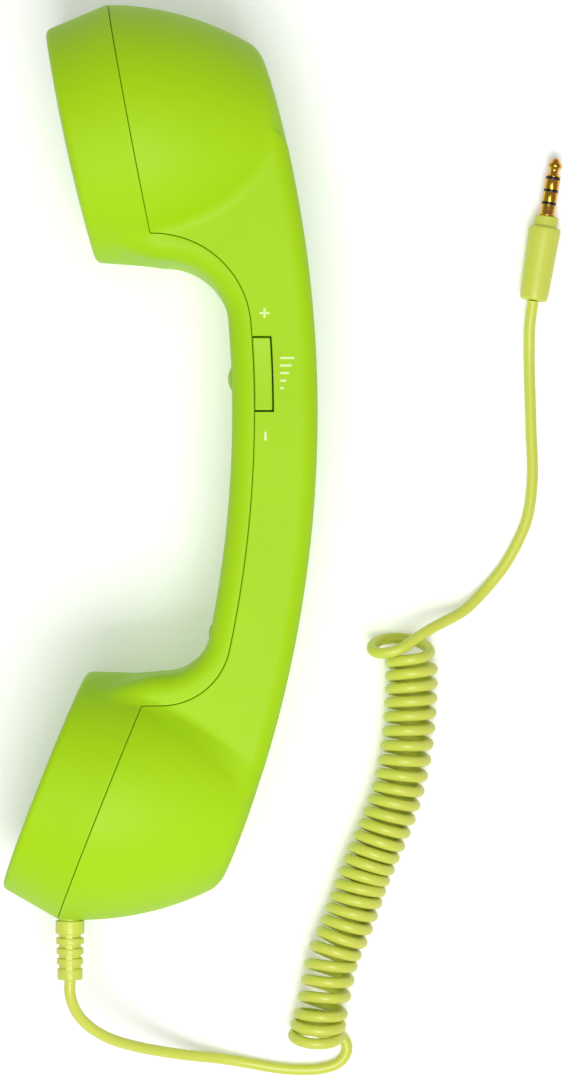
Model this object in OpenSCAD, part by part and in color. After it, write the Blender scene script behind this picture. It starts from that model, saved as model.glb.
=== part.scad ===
// Handset for a mobile phone: two shells, loudspeaker, microphone, call button and volume
// rocker, with a moulded strain relief, a curly cord and a four-pole 3.5 mm plug.
// It lies on its side. +Y runs from the mouthpiece to the earpiece, +X from the faces to the
// back, +Z up. The origin is under the middle of the handset, on the table.

/* [Handset body] */
// Radius of the long arc of the back, seen from the side
back_r = 272.6; // [265:0.2:280]
// Depth from the back arc to the seam of the two shells, along the handle
seam_depth = 14.3; // [13:0.1:15]
// Depth from the back arc to the finger side of the handle
grip_depth = 19.4; // [18.5:0.1:20.5]
// Half the width of the handle
handle_h = 18; // [17:0.5:19]
// Radius of the edge between the back and the flat sides
back_edge_r = 4; // [2:0.5:5]
// Radius of the edge on the finger side
grip_edge_r = 5; // [3:0.5:5]
// Wall thickness of both shells
wall = 2.2; // [1.8:0.1:2.6]

/* [Cups] */
// Largest radius of the ear cup
ear_r = 30.3; // [29:0.1:31]
// Largest radius of the mouth cup
mouth_r = 29.3; // [28:0.1:30]
// Radius of the round flat face of the earpiece
ear_face_r = 27; // [26:0.1:27.5]
// Radius of the round flat face of the mouthpiece
mouth_face_r = 26.6; // [26:0.1:27]
// Radius of the sound holes
hole_r = 0.9; // [0.6:0.1:1.1]

/* [Controls] */
// Length of the volume rocker
rocker_l = 16.3; // [14:0.1:16.5]
// Width of the volume rocker
rocker_w = 3.9; // [3.5:0.1:4]
// Largest angle the rocker tilts to either side, in degrees
rocker_tilt = 3.5; // [2:0.5:4]
// Radius of the call button
button_r = 2.5; // [2:0.1:2.8]
// Travel of the call button
button_travel = 0.6; // [0.3:0.1:0.6]

/* [Cord and plug] */
// Diameter of the cord
cord_d = 2.6; // [2.2:0.1:2.8]
// Outer diameter of the curly cord
curl_d = 12.6; // [11:0.2:14]
// Diameter of the plug's shank, a standard size
shank_d = 3.5; // [3.5]
// Length of the plug's shank
shank_l = 14; // [14]

/* [Hidden] */
$fn = 64;
mid_z = ear_r;                       // height of the handset's middle plane above the table
back_c = [-236.7, 10.8];             // centre of the back, seam and grip arcs
seam_r = back_r - seam_depth;
grip_r = back_r - grip_depth;

ear_y = 74.5;                        // axis of the ear cup
mouth_y = -75.8;                     // axis of the mouth cup
ear_curve = [66, -12.4];             // radius of the ear cup's profile, place of its crown in x
mouth_curve = [67.5, -18.1];

ear_seam_end = [-12, 104.8];         // seam of the ear cup: a straight line between two points
ear_seam_foot = [-1.9, 51.2];
mouth_seam_foot = [-3.8, -54.9];
mouth_seam_end = [-23.6, -104.9];
ear_bend_r = 22;                     // seam's bend between cup and handle
mouth_bend_r = 16.7;
ear_web_r = 13;                      // finger side's bend between cup and handle
ear_web_y = 32.2;
mouth_web_r = 11.4;
mouth_web_y = -36.9;

ear_face = [-20.3, 72.5, 12.2];      // centre of each face and its tilt
mouth_face = [-26.3, -72.9, -21.5];
face_wall = 3.2;                     // thickness behind the faces
grille_t = 1.6;
ear_grille_r = 24.4;
mouth_grille_r = 24;
fit_gap = 0.1;                       // clearance round a part that is set into another

pivot = [23.4, 19.5, mid_z + 14.2];  // the rocker's hinge
pin_r = 0.75;
pin_gap = 0.05;
rocker_gap = 0.35;
button_y = 19.1;
button_x = back_c[0] + sqrt(pow(grip_r, 2) - pow(button_y - back_c[1], 2));
board_x = 24.5;                      // front of the circuit board
board_t = 1.2;
board_y = [-4, 43];
screw_y = -39.5;
screw_x = 14.6;

cord_x = -20.9;                      // line along which the cord leaves the mouth cup
cord_exit_y = -105;
boot_end_y = -118.9;
plug_at = [87.2, 38.7, 3.9];         // cord end of the plug, and how far the plug leans
plug_lean = 9.2;
housing_l = 17.6;
collar_l = 2.5;
ring_l = 2.4;
gap_l = 0.6;
sleeve_l = 2.8;

lime = [0.68, 0.89, 0.18];
lime_light = [0.78, 0.86, 0.31];

// Route of the cord from the strain relief down to the table and to the curly part
lead_path = [[-20.9, -118.9, 30.3], [-20.9, -122.5, 29.8], [-19.8, -127, 27.8], [-17, -131, 24.6],
    [-12.5, -134.2, 20.4], [-7, -136.4, 15.6], [-1, -138, 10.8], [5.5, -139.4, 6.4], [13, -140.6, 3],
    [20, -141.8, 1.5], [26, -142.8, 1.3], [32, -143.2, 1.3], [37, -143, 1.3], [41, -141.5, 1.3],
    [43, -138.5, 1.3], [42.4, -135.2, 1.5]];
// Axis of the curly part
curl_path = [[58.2, -42.5, 6.3], [58.4, -52, 6.3], [58, -61, 6.3], [57.3, -68, 6.3], [56.2, -74, 6.3],
    [54.6, -80, 6.3], [52.6, -86, 6.3], [50.2, -92, 6.3], [47.8, -98, 6.3], [46, -104, 6.3],
    [43.8, -110, 6.3], [41.2, -116, 6.3], [39.8, -122, 6.3], [38.2, -129, 6.3], [37, -135.5, 6.3]];
// Route from the curly part to the plug
far_path = [[60.4, -40, 9.6], [65, -37.2, 6.8], [70, -34.2, 3.9], [75, -29.5, 1.8], [79.5, -24, 1.3],
    [83, -18, 1.3], [85.4, -12.5, 1.3], [86.4, -6, 1.3], [86.6, 0, 1.3], [86.3, 7, 1.3],
    [86.1, 14, 1.3], [86, 21, 1.3], [86.1, 27, 1.7], [86.4, 33, 2.9], [87.2, 38.7, 3.9]];
// Wires inside the handset: loudspeaker, microphone, and the cord's cores
speaker_wire_path = [[-7.2, 70, 34], [-2, 68.6, 34], [6, 65.5, 34], [14, 60, 34], [20, 53, 34], [23.6, 46, 34],
    [24.2, 42, 34]];
microphone_wire_path = [[-16.6, -76.5, 28], [-10, -76, 26], [-2, -72, 24.5], [8, -64, 24], [16, -54, 24],
    [20.4, -40, 24], [22.4, -26, 24], [23.4, -12, 24], [23.9, -2, 24]];
core_path = [[-20.9, -101, 30.3], [-19, -96.5, 32], [-12, -91, 35], [-2, -82, 36], [8, -71, 36], [16, -57, 36],
    [20.6, -41, 36], [22.6, -26, 36], [23.4, -12, 36], [23.9, -1, 36]];

function unit(v) = v / norm(v);
function arc(c, r, a0, a1, n) = [for (i = [0:n]) c + r * [cos(a0 + (a1 - a0) * i / n), sin(a0 + (a1 - a0) * i / n)]];
// Centre of a bend of radius r that touches an arc of radius big_r from inside, at height y
function bend_c(big_r, r, y) = [back_c[0] + sqrt(pow(big_r - r, 2) - pow(y - back_c[1], 2)), y];
function turn(c) = atan2(c[1] - back_c[1], c[0] - back_c[0]);

ear_bend = bend_c(seam_r, ear_bend_r, ear_seam_foot[1] - ear_bend_r);
mouth_bend = bend_c(seam_r, mouth_bend_r, mouth_seam_foot[1] + mouth_bend_r);
ear_web = bend_c(grip_r, ear_web_r, ear_web_y);
mouth_web = bend_c(grip_r, mouth_web_r, mouth_web_y);

// The seam of the two shells, from beyond the ear cup to beyond the mouth cup
seam = concat(
    [ear_seam_foot + 1.5 * (ear_seam_end - ear_seam_foot), ear_seam_foot],
    arc(ear_bend, ear_bend_r, 90, turn(ear_bend), 12),
    arc(back_c, seam_r, turn(ear_bend) - 1, turn(mouth_bend) + 1, 14),
    arc(mouth_bend, mouth_bend_r, turn(mouth_bend), -90, 12),
    [mouth_seam_foot, mouth_seam_foot + 1.5 * (mouth_seam_end - mouth_seam_foot)]);

module slab() {
    translate([0, 0, mid_z - 40])
        linear_extrude(80)
            children();
}

module front_zone() {
    slab() polygon(concat(seam, [[-90, -140], [-90, 140]]));
}

module rear_zone() {
    slab() polygon(concat(seam, [[60, -140], [60, 140]]));
}

// A cup: a short arc turned about a line along X, grown by `grow`
module dome(y, cup_r, curve, grow) {
    translate([0, y, mid_z])
        rotate([0, 90, 0])
            rotate_extrude()
                intersection() {
                    translate([cup_r - curve[0], curve[1]]) circle(curve[0] + grow);
                    translate([0, -45]) square([45, 90]);
                }
}

// A bar with two round corners on the side of its larger (out) or smaller radius
module bar_section(r0, r1, h, edge, out) {
    inner = out ? r0 : r0 + edge;
    outer = out ? r1 - edge : r1;
    translate([inner, -h]) square([outer - inner, 2 * h]);
    translate([r0, edge - h]) square([r1 - r0, 2 * (h - edge)]);
    for (s = [-1, 1]) translate([out ? outer : inner, s * (h - edge)]) circle(edge);
}

// Sweeps a section about a vertical line at c, from angle a0 to a1
module sweep(c, a0, a1) {
    translate([c[0], c[1], mid_z])
        rotate([0, 0, min(a0, a1)])
            rotate_extrude(angle = abs(a1 - a0))
                children();
}

module back_disc(grow) {
    translate([back_c[0], back_c[1], mid_z - 40]) cylinder(h = 80, r = back_r + grow, $fn = 128);
}

module rear_body(grow) {
    intersection() {
        union() {
            intersection() {
                union() {
                    dome(ear_y, ear_r, ear_curve, grow);
                    dome(mouth_y, mouth_r, mouth_curve, grow);
                }
                back_disc(grow);
            }
            sweep(back_c, 13.5, -18.5)
                bar_section(200, back_r + grow, handle_h + grow, back_edge_r + grow, true);
        }
        rear_zone();
    }
}

// Puts its children on a face: local +Z points out of the face
module on_face(face) {
    translate([face[0], face[1], mid_z])
        rotate([0, 0, face[2]])
            rotate([0, -90, 0])
                children();
}

// The finger side of the handle, `deep` behind its surface: a bend, a long arc, a bend
function grip_line(deep) = concat(
    arc(ear_web, ear_web_r + deep, 90, turn(ear_web) + 4, 7),
    arc(back_c, grip_r + deep, turn(ear_web) - 0.5, turn(mouth_web) + 0.5, 10),
    arc(mouth_web, mouth_web_r + deep, turn(mouth_web) - 4, -90, 7));

// Half of the handle's section on the finger side: depth behind the surface, half width
grip_half = concat(
    [for (a = [0:22.5:90]) [grip_edge_r * (1 - sin(a)), handle_h - grip_edge_r * (1 - cos(a))]]);

// A closed skin over rings that have the same number of points
module skin(rings) {
    m = len(rings);
    n = len(rings[0]);
    sides = [for (i = [0:m - 2], k = [0:n - 1])
        [i * n + k, (i + 1) * n + k, (i + 1) * n + (k + 1) % n, i * n + (k + 1) % n]];
    polyhedron([for (ring = rings) each ring], concat([[for (k = [0:n - 1]) k]], sides,
        [[for (k = [n - 1:-1:0]) (m - 1) * n + k]]));
}

module grip() {
    back = 8;
    lines = [for (p = grip_half) grip_line(p[0])];
    far = grip_line(back);
    h = len(grip_half);
    skin([for (i = [0:len(far) - 1])
        concat(
            [[far[i][0], far[i][1], mid_z + handle_h]],
            [for (k = [0:h - 1]) [lines[k][i][0], lines[k][i][1], mid_z + grip_half[k][1]]],
            [for (k = [h - 1:-1:0]) [lines[k][i][0], lines[k][i][1], mid_z - grip_half[k][1]]],
            [[far[i][0], far[i][1], mid_z - handle_h]])]);
}

// A cap from the round face to the cup's rim, carried down to the finger side of the handle
module cap(face, face_r, y, cup_r, curve, foot, end, web) {
    past = 9 * (end - foot) / 50;
    hull() {
        on_face(face)
            translate([0, 0, -1])
                cylinder(h = 1, r1 = face_r, r2 = face_r - 0.8);
        intersection() {
            dome(y, cup_r, curve, 0, $fn = 48);
            slab() polygon([foot - past, end + past, end + past - [0.6, 0], foot - past - [0.6, 0]]);
        }
        intersection() {
            grip();
            translate([web[0], web[1] - 20, mid_z - 30]) cube([0.5, 40, 60]);
        }
    }
}

module front_body() {
    intersection() {
        union() {
            cap(ear_face, ear_face_r, ear_y, ear_r, ear_curve, ear_seam_foot, ear_seam_end, ear_web);
            cap(mouth_face, mouth_face_r, mouth_y, mouth_r, mouth_curve, mouth_seam_foot,
                mouth_seam_end, mouth_web);
            grip();
        }
        front_zone();
    }
}

module front_hollow() {
    h = handle_h - wall - 0.2;
    on_face(ear_face) translate([0, 0, -30]) cylinder(h = 30 - face_wall, r = ear_face_r - wall - 0.3);
    on_face(mouth_face) translate([0, 0, -30]) cylinder(h = 30 - face_wall, r = mouth_face_r - wall - 0.3);
    translate([0, 0, mid_z - h])
        linear_extrude(2 * h)
            polygon(concat([[-4, 60]], grip_line(wall + 0.2), [[-4, -60], [30, -60], [30, 60]]));
}

module along_x(from, to, y, z, r) {
    translate([from, y, mid_z + z]) rotate([0, 90, 0]) cylinder(h = to - from, r = r);
}

module rear_shell() {
    color(lime) difference() {
        union() {
            difference() {
                rear_body(0);
                rear_body(-wall);
            }
            intersection() {
                rear_body(-wall / 2);
                union() {
                    along_x(20, 40, screw_y, 0, 2.9);
                    for (y = board_y + [4, -4]) along_x(board_x + board_t, 40, y, 0, 2.6);
                    for (y = [-27, -11]) translate([29.8, y - 1, mid_z - 8]) cube([8, 2, 16]);
                    translate([pivot[0] + rocker_w / 2 + 0.3, pivot[1] - 2, pivot[2] - 2]) cube([2.2, 4, 4]);
                }
            }
        }
        along_x(15, 26, screw_y, 0, 1.1);
        for (y = board_y + [4, -4]) along_x(20, 31, y, 0, 1);
        rocker_window();
        pin_hole(pin_r);
        boot_hole();
    }
}

// The window for the rocker, between the seam and a parallel arc
module rocker_window() {
    intersection() {
        sweep(back_c, -1, 6) translate([seam_r - 1, 12]) square([1 + rocker_w + 0.45, 12]);
        translate([0, pivot[1] - rocker_l / 2 - rocker_gap, mid_z])
            cube([60, rocker_l + 2 * rocker_gap, 60]);
    }
}

module pin_hole(r) {
    translate([pivot[0] - 3.6, pivot[1], pivot[2]]) rotate([0, 90, 0]) cylinder(h = 7.2, r = r);
}

module boot_hole() {
    translate([cord_x, cord_exit_y + 6, mid_z]) rotate([90, 0, 0]) cylinder(h = 12, r = 2.7 + fit_gap);
}

module front_shell() {
    color(lime) difference() {
        union() {
            difference() {
                front_body();
                front_hollow();
            }
            on_face(ear_face) translate([0, 0, -7.5]) cylinder(h = 5, r = 20);
            on_face(mouth_face) translate([0, 0, -8]) cylinder(h = 5.5, r = 8.6);
            along_x(screw_x - 1, 19.9, screw_y, 0, 3.2);
            translate([pivot[0] - 4.6, pivot[1] - 2, pivot[2] - 2]) cube([2.4, 4, 3.6]);
        }
        on_face(ear_face) {
            translate([0, 0, -grille_t]) cylinder(h = 5, r = ear_grille_r + fit_gap);
            translate([0, 0, -5]) cylinder(h = 6, r = 16.5);
            translate([0, 0, -9]) cylinder(h = 9 - face_wall, r = 18.2);
        }
        on_face(mouth_face) {
            translate([0, 0, -grille_t]) cylinder(h = 5, r = mouth_grille_r + fit_gap);
            translate([0, 0, -5]) cylinder(h = 6, r = 4);
            translate([0, 0, -9]) cylinder(h = 9 - face_wall, r = 7.1);
        }
        along_x(5, 15.8, screw_y, 0, 2.2);
        along_x(14, 21, screw_y, 0, 1.3);
        along_x(button_x - 4, button_x + 4, button_y, 0, button_r + fit_gap);
        pin_hole(pin_r);
        boot_hole();
    }
}

// A round perforated plate: holes on rings, six more on each ring than on the last
module grille(r, rings, pitch) {
    difference() {
        translate([0, 0, -grille_t]) cylinder(h = grille_t, r = r);
        for (i = [0:rings], k = [0:max(6 * i - 1, 0)])
            rotate([0, 0, 360 * k / max(6 * i, 1)])
                translate([i * pitch, 0, -grille_t - 1])
                    cylinder(h = grille_t + 2, r = hole_r, $fn = 24);
    }
}

module earpiece_grille() {
    color(lime) on_face(ear_face) grille(ear_grille_r, 3, 4);
}

module mouthpiece_grille() {
    color(lime) on_face(mouth_face) grille(mouth_grille_r, 1, 2.9);
}

module ring_part(r0, r1, z0, z1) {
    difference() {
        translate([0, 0, z0]) cylinder(h = z1 - z0, r = r1);
        translate([0, 0, z0 - 1]) cylinder(h = z1 - z0 + 2, r = r0);
    }
}

module speaker_gasket() {
    color("dimgray") on_face(ear_face) ring_part(13.8, 16.4, -face_wall, -grille_t);
}

module speaker_frame() {
    color("silver") on_face(ear_face) {
        ring_part(13, 18, -4.4, -face_wall);
        ring_part(14.5, 15.5, -8.4, -4.4);
        ring_part(8, 15.5, -8.4, -7.6);
    }
}

module speaker_magnet() {
    color("dimgray") on_face(ear_face) difference() {
        translate([0, 0, -12.4]) cylinder(h = 4, r = 10.5);
        ring_part(5.1, 6.4, -10.8, -8);
    }
}

module speaker_diaphragm() {
    color("whitesmoke") on_face(ear_face) rotate_extrude() {
        polygon([[12.95, -3.5], [10.5, -3.5], [6, -5.6], [3, -4.6], [0, -4.3], [0, -4.6], [3, -4.9], [5.9, -6],
            [6.2, -6], [10.6, -3.9], [12.95, -3.9]]);
    }
}

module voice_coil() {
    color("peru") on_face(ear_face) ring_part(5.4, 5.9, -9.6, -6);
}

module microphone_boot() {
    color("dimgray") on_face(mouth_face) difference() {
        translate([0, 0, -9.2]) cylinder(h = 9.2 - face_wall, r = 7);
        translate([0, 0, -8]) cylinder(h = 6, r = 4.85);
    }
}

module microphone_capsule() {
    color("silver") on_face(mouth_face) difference() {
        translate([0, 0, -8]) cylinder(h = 4.5, r = 4.8);
        translate([0, 0, -3.9]) cylinder(h = 1, r = 2);
    }
}

module circuit_board() {
    color("darkgreen") difference() {
        translate([board_x, board_y[0], mid_z - 12]) cube([board_t, board_y[1] - board_y[0], 20]);
        for (y = board_y + [4, -4]) along_x(20, 31, y, 0, 1.1);
    }
}

module board_screws() {
    color("silver") for (y = board_y + [4, -4]) {
        along_x(board_x - 1.3, board_x, y, 0, 1.9);
        along_x(board_x - 0.1, board_x + 5.5, y, 0, 1);
    }
}

module volume_switches() {
    color("dimgray") for (s = [-6, 6]) {
        translate([board_x - 3.2, pivot[1] + s - 2.2, mid_z + 4]) cube([3.2, 4.4, 3.6]);
        translate([pivot[0], pivot[1] + s, mid_z + 7.5]) cylinder(h = 0.7, r = 0.9);
    }
}

module call_switch() {
    color("dimgray") {
        translate([board_x - 2.6, button_y - 3, mid_z - 3]) cube([2.6, 6, 6]);
        along_x(board_x - 3.2, board_x - 2.5, button_y, 0, 1.6);
    }
}

module volume_rocker() {
    color(lime) difference() {
        union() {
            difference() {
                intersection() {
                    sweep(back_c, -1, 6) translate([seam_r + 0.15, 15.6]) square([rocker_w, 2.8]);
                    translate([0, pivot[1] - rocker_l / 2, mid_z]) cube([60, rocker_l, 60]);
                }
                translate([0, pivot[1], mid_z + 18.4 + 79.6]) rotate([0, 90, 0]) cylinder(h = 60, r = 80, $fn = 128);
            }
            translate([pivot[0] - 1.5, pivot[1] - 1.8, pivot[2]]) cube([3, 3.6, 1.6]);
            translate([pivot[0] - 1.5, pivot[1], pivot[2]]) rotate([0, 90, 0]) cylinder(h = 3, r = 1.8);
            for (s = [-6, 6])
                translate([pivot[0] - 1, pivot[1] + s - 1, mid_z + 8.8]) cube([2, 2, 7]);
        }
        pin_hole(pin_r + pin_gap);
    }
}

module rocker_pin() {
    color("silver") pin_hole(pin_r);
}

module call_button() {
    stop = button_x + wall + 0.7;
    color(lime) {
        along_x(button_x, stop, button_y, 0, button_r);
        along_x(stop - 0.2, stop + 0.7, button_y, 0, button_r + 0.9);
        along_x(stop, board_x - 3.2 - button_travel - 0.05, button_y, 0, 1.2);
        intersection() {
            translate([button_x - 0.7 + 4.8, button_y, mid_z]) sphere(4.8);
            along_x(button_x - 2, button_x + 0.1, button_y, 0, button_r);
        }
    }
}

module ballast_weight() {
    color("slategray") translate([24.8, -30, mid_z - 13]) cube([5, 22, 26]);
}

module shell_screw() {
    color("silver") difference() {
        union() {
            along_x(screw_x - 0.4, 15.8, screw_y, 0, 2);
            along_x(15.7, 25, screw_y, 0, 1.1);
        }
        translate([screw_x - 0.8, screw_y - 0.3, mid_z - 1.3]) cube([1, 0.6, 2.6]);
        translate([screw_x - 0.8, screw_y - 1.3, mid_z - 0.3]) cube([1, 2.6, 0.6]);
    }
}

module screw_plug() {
    color(lime) intersection() {
        translate([15.4, screw_y, mid_z]) sphere(4.4);
        along_x(8, screw_x - 0.5, screw_y, 0, 2.15);
    }
}

// A tube of even thickness along a list of points
module tube(path, r, n) {
    last = len(path) - 1;
    skin([for (i = [0:last])
        let (t = unit(path[min(i + 1, last)] - path[max(i - 1, 0)]),
             u = unit(cross([0, 0, 1], t)),
             v = cross(t, u))
        [for (k = [0:n - 1]) path[i] + r * (cos(360 * k / n) * u + sin(360 * k / n) * v)]]);
}

module wire_pair(path) {
    for (s = [-1, 1]) tube([for (p = path) p + [0, 0, s]], 0.6, 6);
}

module speaker_wires() {
    color("firebrick") wire_pair(speaker_wire_path);
}

module microphone_wires() {
    color("gold") wire_pair(microphone_wire_path);
}

module cord_cores() {
    color("white") tube(core_path, 1, 6);
}

// Moulded boot: a flange inside the cup, then a block and four ribs on a core with two spines
module strain_relief() {
    slot_h = 0.85;
    color(lime_light) translate([cord_x, cord_exit_y, mid_z]) rotate([90, 0, 0]) difference() {
        union() {
            translate([0, 0, -4]) cylinder(h = 1.6, r = 4.3);
            translate([0, 0, -3]) cylinder(h = 4, r = 2.7);
            translate([0, 0, 0.3]) cylinder(h = -boot_end_y + cord_exit_y - 0.3, r1 = 3.35, r2 = 2.85);
        }
        for (i = [0:3]) translate([0, 0, 3.4 + 2.35 * i]) difference() {
            cylinder(h = slot_h, r = 5);
            translate([0, 0, -1]) cylinder(h = 3, r = 2.4);
            translate([-0.8, -5, -1]) cube([1.6, 10, 3]);
        }
    }
}

module lead_cord() {
    color(lime_light) tube(lead_path, cord_d / 2, 8);
}

module curly_cord() {
    color(lime_light) tube(curl_path, curl_d / 2, 12);
}

module plug_lead() {
    color(lime_light) tube(far_path, cord_d / 2, 8);
}

module on_plug(z) {
    translate(plug_at)
        rotate([0, 0, -plug_lean])
            rotate([-90, 0, 0])
                translate([0, 0, z])
                    children();
}

module plug_housing() {
    color(lime_light) on_plug(0) rotate_extrude()
        polygon([[0, 0], [2.2, 0], [2.8, 0.3], [3.2, 1], [3.35, 2], [3.85, housing_l - 0.6],
            [3.6, housing_l], [3, housing_l], [3, housing_l + collar_l - 0.5], [2.5, housing_l + collar_l],
            [0, housing_l + collar_l]]);
}

module shank_part(from, length) {
    on_plug(housing_l + collar_l + from) cylinder(h = length, r = shank_d / 2);
}

module plug_sleeve() {
    color("goldenrod") shank_part(0, sleeve_l);
}

module plug_second_ring() {
    color("goldenrod") shank_part(sleeve_l + gap_l, ring_l);
}

module plug_first_ring() {
    color("goldenrod") shank_part(sleeve_l + 2 * gap_l + ring_l, ring_l);
}

module plug_insulators() {
    color("black") for (i = [0:2]) shank_part(sleeve_l + i * (gap_l + ring_l), gap_l);
}

module plug_tip() {
    tip_at = sleeve_l + 3 * gap_l + 2 * ring_l;
    tip_l = shank_l - tip_at;
    color("goldenrod") on_plug(housing_l + collar_l + tip_at) rotate_extrude()
        polygon([[0, 0], [1.35, 0], [1.15, 0.5], [1.7, tip_l - 1.7], [1.7, tip_l - 1.3], [0.8, tip_l - 0.2],
            [0.5, tip_l], [0, tip_l]]);
}

rear_shell();
front_shell();
earpiece_grille();
mouthpiece_grille();
speaker_gasket();
speaker_frame();
speaker_magnet();
speaker_diaphragm();
voice_coil();
microphone_boot();
microphone_capsule();
circuit_board();
board_screws();
volume_switches();
call_switch();
volume_rocker();
rocker_pin();
call_button();
ballast_weight();
shell_screw();
screw_plug();
speaker_wires();
microphone_wires();
cord_cores();
strain_relief();
lead_cord();
curly_cord();
plug_lead();
plug_housing();
plug_sleeve();
plug_second_ring();
plug_first_ring();
plug_tip();
plug_insulators();
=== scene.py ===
import math

import bmesh
import bpy
import numpy as np
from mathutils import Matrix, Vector


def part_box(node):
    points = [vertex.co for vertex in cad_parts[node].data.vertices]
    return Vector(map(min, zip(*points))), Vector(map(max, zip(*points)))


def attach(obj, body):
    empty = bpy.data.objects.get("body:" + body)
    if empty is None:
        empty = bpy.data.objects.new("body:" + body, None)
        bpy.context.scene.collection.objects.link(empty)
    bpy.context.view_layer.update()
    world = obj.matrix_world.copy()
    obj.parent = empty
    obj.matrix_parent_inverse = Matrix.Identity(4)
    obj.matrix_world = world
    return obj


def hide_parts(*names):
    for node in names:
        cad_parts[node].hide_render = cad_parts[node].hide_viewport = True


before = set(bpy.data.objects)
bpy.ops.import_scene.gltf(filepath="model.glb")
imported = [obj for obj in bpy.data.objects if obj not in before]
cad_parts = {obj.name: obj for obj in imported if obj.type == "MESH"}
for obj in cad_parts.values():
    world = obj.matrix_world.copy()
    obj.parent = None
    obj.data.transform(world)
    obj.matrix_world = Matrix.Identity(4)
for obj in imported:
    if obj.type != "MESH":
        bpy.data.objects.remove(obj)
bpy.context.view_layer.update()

mm = 0.001  # shapes are worked out in millimetres and become metres in the mesh
shellLow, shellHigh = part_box("rear_shell")
midZ = (shellLow[2] + shellHigh[2]) / 2 / mm  # height of the handset's middle plane
upDir = np.array([0.0, 0.0, 1.0])

# the handle in plan: a back arc, the seam and the finger side share one centre
handle = {
    "center": (-236.7, 10.8),
    "backRadius": 272.6,
    "seamRadius": 258.3,
    "gripRadius": 253.2,
    "halfWidth": 18.0,
    "backEdge": 4.0,
    "gripEdge": 5.0,
    "earBend": 22.0,  # seam bends, then the finger side's bends and the lines they end on
    "mouthBend": 15.8,
    "earWeb": 13.0,
    "mouthWeb": 8.4,
    "earUnder": 45.2,
    "mouthUnder": -48.3,
    "earInside": 74.5,
    "mouthInside": -75.8,
    "creaseBlend": 1.5,
    "webBlend": 2.6,
    "webBlendReach": 7.0,
    "webBlendHigh": 15.0,
    "edgeFade": 30.0,  # over this length towards the corners the back's edge grows sharper
    "fadeLength": 12.0,  # the finger side fades into the cups over this much
    "fadeRound": 14.0,
    "bodyTurn": 62.0,  # the finger side ends and the caps start where the seam has turned this far
    "skinGuides": ((31.0, (35.2, 32.0)), (-38.0, (31.6, -41.0))),  # from the seam at y to a back point
}
earCup = {
    "axisY": 74.5,
    "radius": 30.3,
    "curve": 66.0,
    "crownX": -12.4,
    "face": (-20.6, 72.4),
    "faceRadius": 27.2,
    "tilt": 12.2,
    "seamEnd": (-12.0, 104.8),
    "seamFoot": (-1.9, 51.2),
    "rimFoot": (-0.8, 44.6),
    "corner": (23.25, 93.5),
    "creaseEnd": (27.1, 67.9),
    "side": 1,
    "fadeFrom": 38.0,
    "opening": 16.5,
    "grille": 24.4,
    "bulge": 1.0,  # how far the face is domed
}
mouthCup = {
    "axisY": -75.8,
    "radius": 29.3,
    "curve": 67.5,
    "crownX": -18.1,
    "face": (-26.6, -72.85),
    "faceRadius": 26.6,
    "tilt": -21.5,
    "seamEnd": (-23.6, -104.9),
    "seamFoot": (-3.8, -55.3),
    "rimFoot": (-1.3, -48.6),
    "corner": (13.7, -97.2),
    "creaseEnd": (20.4, -74.5),
    "side": -1,
    "fadeFrom": 40.0,
    "opening": 4.0,
    "grille": 24.0,
    "bulge": 0.45,
}
shell = {
    "wall": 2.0,
    "gap": 0.075,  # half of the seam
    "edge": 0.25,  # rounding along the seam
    "faceEdge": 1.2,
    "cornerEdge": 1.6,
    "grilleGap": 0.14,
    "grilleDeep": 1.6,
    "faceDeep": 3.2,
    "faceInset": 3.4,  # from the rim to the bend between wall and face, inside
    "rimStep": 1.3,  # degrees round the cups' rims
    "spacing": 0.62,  # between sections along the handle
    "columns": 117,
    "frontColumns": 57,
    "rimColumns": 8,
    "wallColumns": 26,
    "cornerPart": 0.42,  # how far down a cup's seam the sections reach the back's corner
}


def unit(v):
    # vectors over their lengths
    return v / np.maximum(np.linalg.norm(v, axis=-1, keepdims=True), 1e-12)


def roundMax(a, b, r):
    # what two solids share, with their common edge rounded to radius r
    a, b = a + r, b + r
    return np.hypot(np.maximum(a, 0), np.maximum(b, 0)) + np.minimum(np.maximum(a, b), 0) - r


def softMin(a, b, k):
    # two solids together, with their valley filled over a width k
    h = np.maximum(k - np.abs(a - b), 0) / k
    return np.minimum(a, b) - h * h * k / 4


def smooth(t):
    # eases from 0 to 1: three times the square less twice the cube
    t = np.clip(t, 0, 1)
    return t * t * (3 - 2 * t)


def measureCup(cup):
    # adds the directions into and along the face, and the ellipse of the cup's rim at the seam
    t = math.radians(cup["tilt"])
    cup["into"] = np.array([math.cos(t), math.sin(t)])
    cup["along"] = np.array([-math.sin(t), math.cos(t)])
    end, foot = np.array(cup["seamEnd"]), np.array(cup["rimFoot"])
    cup["rimCenter"] = (end + foot) / 2
    cup["rimHalf"] = np.linalg.norm(end - foot) / 2
    offset = cup["rimCenter"] - np.array(cup["face"])
    cup["rimDepth"] = float(offset @ cup["into"])
    cup["rimShift"] = float(offset @ cup["along"])
    rise = cup["rimCenter"][0] - cup["crownX"]
    cup["rimHigh"] = cup["radius"] - cup["curve"] + math.sqrt(cup["curve"] ** 2 - rise**2)
    cup["footTurn"] = math.acos(1 - np.linalg.norm(end - np.array(cup["seamFoot"])) / cup["rimHalf"])


for cup in (earCup, mouthCup):
    measureCup(cup)


def domed(cup, r):
    # how far a face stands out at radius r: the bulge times one less the square of r over the rim's
    return cup["bulge"] * (1 - np.minimum(r / cup["faceRadius"], 1) ** 2)


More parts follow.
